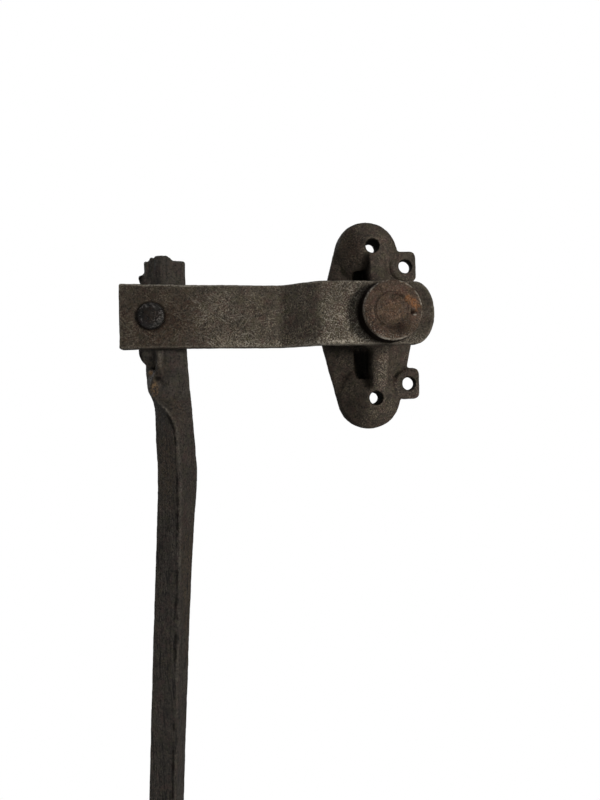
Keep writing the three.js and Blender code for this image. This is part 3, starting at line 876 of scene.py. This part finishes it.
def make_rivet():
    """A black domed head with painted glints along its hammered rim."""
    skin = Skin("rod_rivet", voxel=0.35, relax=3)
    skin.push(-0.9 * rise(-skin.points[:, 1], *DOME_TOP))
    weather(skin, 0.3, 0.1, seed=71, edges=0.9)
    points = skin.points
    out = off_axis(points, RIVET)
    # painted glints along the rim, most at upper left and right
    rim = fade(np.abs(out - 0.78 * RIVET_HEAD_RADIUS), 0.5, 1.8)
    lit = 0.35 + 0.65 * most(around(points, RIVET, 150, 50), around(points, RIVET, -10, 60))
    skin.paint("edge", rim * lit * rise(fractal(points, 1.8, 73), 0.12, 0.32))
    centre = fade(out, 3.5, 6)
    skin.paint("hollow", 0.3 + 0.15 * centre)
    skin.paint("rust", 0.8 * centre)
    return skin.finish("arm_body", BLACK_STEEL)


def make_washer(node, body, seed):
    """One of the plain washers that keep the moving pieces apart."""
    skin = Skin(node, voxel=0.4, relax=2)
    weather(skin, 0.05, 0.05, seed=seed)
    return skin.finish(body, BLACK_STEEL)


# ---- camera, light and floor, in metres ----
CAMERA_PLACE = (-0.09688, -0.401, -0.05189)
CAMERA_YAW, CAMERA_ROLL = math.radians(6.5), math.radians(-1.8)
LENS, SENSOR = 27, 36  # in millimetres
LIT_PLACE = (-0.06, -0.02, -0.06)  # all the lights face this place
WORLD_LIGHT = 0.14
FLOOR_HALF_WIDTH = 4.0
FLOOR_GAP = 0.004  # between the floor and the latch's lowest point


def make_camera():
    """Stands off the wall face, turned a little to the right and rolled a little, as the latch was seen."""
    ahead = Vector((math.sin(CAMERA_YAW), math.cos(CAMERA_YAW), 0))
    level = Vector((math.cos(CAMERA_YAW), -math.sin(CAMERA_YAW), 0))
    up = Vector((0, 0, 1))
    right = level * math.cos(CAMERA_ROLL) + up * math.sin(CAMERA_ROLL)
    top = up * math.cos(CAMERA_ROLL) - level * math.sin(CAMERA_ROLL)
    data = bpy.data.cameras.new("camera")
    data.lens = LENS
    data.sensor_width = SENSOR
    data.clip_start = 0.01
    camera = bpy.data.objects.new("camera", data)
    axes = Matrix((right, top, -ahead)).transposed()
    camera.matrix_world = Matrix.Translation(Vector(CAMERA_PLACE)) @ axes.to_4x4()
    bpy.context.scene.collection.objects.link(camera)
    bpy.context.scene.camera = camera


def area_light(name, place, size, power, colour=(1, 1, 1)):
    """A round lamp that faces the latch. power is in watts."""
    data = bpy.data.lights.new(name, "AREA")
    data.shape = "DISK"
    data.size = size
    data.energy = power
    data.color = colour
    light = bpy.data.objects.new(name, data)
    light.location = place
    light.rotation_euler = (Vector(LIT_PLACE) - Vector(place)).to_track_quat("-Z", "Y").to_euler()
    bpy.context.scene.collection.objects.link(light)


def show_to_camera(tree, lit, seen, output):
    """Joins two shaders: one that lights the latch, and one that the camera sees."""
    path = tree.nodes.new("ShaderNodeLightPath")
    choose = tree.nodes.new("ShaderNodeMixShader")
    tree.links.new(path.outputs["Is Camera Ray"], choose.inputs[0])
    tree.links.new(lit, choose.inputs[1])
    tree.links.new(seen, choose.inputs[2])
    tree.links.new(choose.outputs[0], output.inputs["Surface"])


def make_studio():
    """Four lamps and a faint pale world, which the camera sees as white."""
    area_light("key", (0.66, -0.92, 0.04), size=0.26, power=11.2, colour=(1, 0.94, 0.87))
    area_light("top", (-0.1, -0.4, 1.0), size=0.6, power=2)
    area_light("fill", (-0.6, -1.0, -0.25), size=0.9, power=2.4, colour=(0.94, 0.98, 1))
    area_light("back", (-0.9, 0.6, 0.7), size=0.9, power=8)
    world = bpy.data.worlds.new("studio")
    world.use_nodes = True
    tree = world.node_tree
    white = tree.nodes.new("ShaderNodeBackground")
    white.inputs["Color"].default_value = (1, 1, 1, 1)
    lit = tree.nodes["Background"]
    lit.inputs["Color"].default_value = (1, 0.985, 0.96, 1)
    lit.inputs["Strength"].default_value = WORLD_LIGHT
    show_to_camera(tree, lit.outputs[0], white.outputs[0], tree.nodes["World Output"])
    bpy.context.scene.world = world
    bpy.context.scene.view_settings.view_transform = "Standard"


def make_floor():
    """A matt grey floor under the latch, which the camera sees as white."""
    half, level = FLOOR_HALF_WIDTH, cad_box[0][2] - FLOOR_GAP
    corners = [(-half, -half, level), (half, -half, level), (half, half, level), (-half, half, level)]
    mesh = bpy.data.meshes.new("floor")
    mesh.from_pydata(corners, [], [(0, 1, 2, 3)])
    material = bpy.data.materials.new("floor")
    material.use_nodes = True
    tree = material.node_tree
    pale = tree.nodes["Principled BSDF"]
    pale.inputs["Base Color"].default_value = (0.5, 0.5, 0.5, 1)
    pale.inputs["Roughness"].default_value = 0.9
    pale.inputs["Specular IOR Level"].default_value = 0.0
    white = tree.nodes.new("ShaderNodeEmission")
    show_to_camera(tree, pale.outputs[0], white.outputs[0], tree.nodes["Material Output"])
    mesh.materials.append(material)
    floor = bpy.data.objects.new("floor", mesh)
    bpy.context.scene.collection.objects.link(floor)


make_camera()
make_studio()
make_floor()
make_bracket()
make_arm()
make_rod()
make_cap()
make_stud()
make_rivet()
make_washer("thrust_washer", "bracket_body", 81)
make_washer("spacer_washer", "arm_body", 83)
make_washer("rivet_rove", "arm_body", 87)
